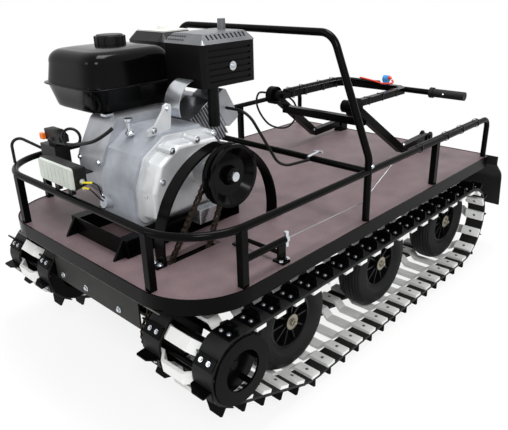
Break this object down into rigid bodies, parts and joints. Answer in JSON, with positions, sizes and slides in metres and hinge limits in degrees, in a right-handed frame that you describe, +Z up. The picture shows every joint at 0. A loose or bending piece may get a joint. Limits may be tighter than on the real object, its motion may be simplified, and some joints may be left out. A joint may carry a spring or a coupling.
{
  "type": "tracked snow tug",
  "caption": "Engine-driven flat-deck snow tug on twin belt tracks with inner wheels, guard rails, roll hoop and folding steering handle.",
  "frame": {"origin": "on the ground under the middle of the machine", "axes": "+X forward to the engine, +Y to the left, +Z up"},
  "size_m": [1.6476, 1.0226, 0.984],
  "materials": {
    "belt_rubber": "black conveyor rubber, matt",
    "black_paint": "black paint, semi-gloss",
    "black_plastic": "black plastic, matt",
    "cast_alloy": "as-cast aluminium, satin",
    "gloss_black": "black enamel, gloss",
    "lens": "ribbed clear lens",
    "plywood": "brown film-faced anti-slip plywood, matt",
    "steel": "bare steel, oiled",
    "tyre_rubber": "black rubber, matt",
    "white_plastic": "white polyethylene, semi-gloss",
    "zinc": "zinc plate, bright"
  },
  "bodies": {
    "tug": {"air_cleaner": "black_plastic", "air_cleaner_plate": "zinc", "cables": "black_plastic", "carburetor": "cast_alloy", "chain_guard_arch": "black_paint", "chassis_frame": "black_paint", "clutch_lever": "black_paint", "crankcase": "cast_alloy", "crankshaft": "steel", "cylinder": "cast_alloy", "cylinder_shroud": "zinc", "deck_board": "plywood", "deck_border": "black_paint", "drive_axle": "steel", "drive_chain": "steel", "drive_pulley": "black_paint", "drive_sprocket": "steel", "drum_left": "black_paint", "drum_right": "black_paint", "engine_sprocket": "steel", "engine_subframe": "black_paint", "exhaust_pipe": "black_paint", "fan_cover": "cast_alloy", "front_plate": "black_paint", "front_rail": "black_paint", "fuel_tank": "gloss_black", "guard_top": "steel", "handle_brackets": "black_paint", "headlight": "black_plastic", "headlight_lens": "lens", "hoop": "black_paint", "lever_clamp": "zinc", "lever_wire": "steel", "mud_flap_left": "belt_rubber", "mud_flap_right": "belt_rubber", "muffler_guard": "black_paint", "rear_rail_left": "black_paint", "rear_rail_right": "black_paint", "recoil_starter": "black_plastic", "rims_left": "black_plastic", "rims_right": "black_plastic", "side_cover": "cast_alloy", "switch_box": "black_plastic", "tank_cap": "black_plastic", "tank_feet": "cast_alloy", "track_belts_left": "belt_rubber", "track_belts_right": "belt_rubber", "track_crossbars_left": "white_plastic", "track_crossbars_right": "white_plastic", "tyres_left": "tyre_rubber", "tyres_right": "tyre_rubber", "wheel_axles": "steel"},
    "stem": {"handle_stem": "black_paint"},
    "handlebar": {"handlebar": "black_paint", "handlebar_grips": "black_plastic", "stop_switch": "black_plastic"}
  },
  "joints": [
    {"name": "stem_fold", "type": "hinge", "parent": "tug", "child": "stem", "pos_m": [-0.7, 0, 0.46], "axis": [0, -1, 0], "range_deg": [0, 110]},
    {"name": "handlebar_fold", "type": "hinge", "parent": "stem", "child": "handlebar", "pos_m": [-0.2, 0, 0.664], "axis": [0, 1, 0], "range_deg": [0, 100]}
  ]
}
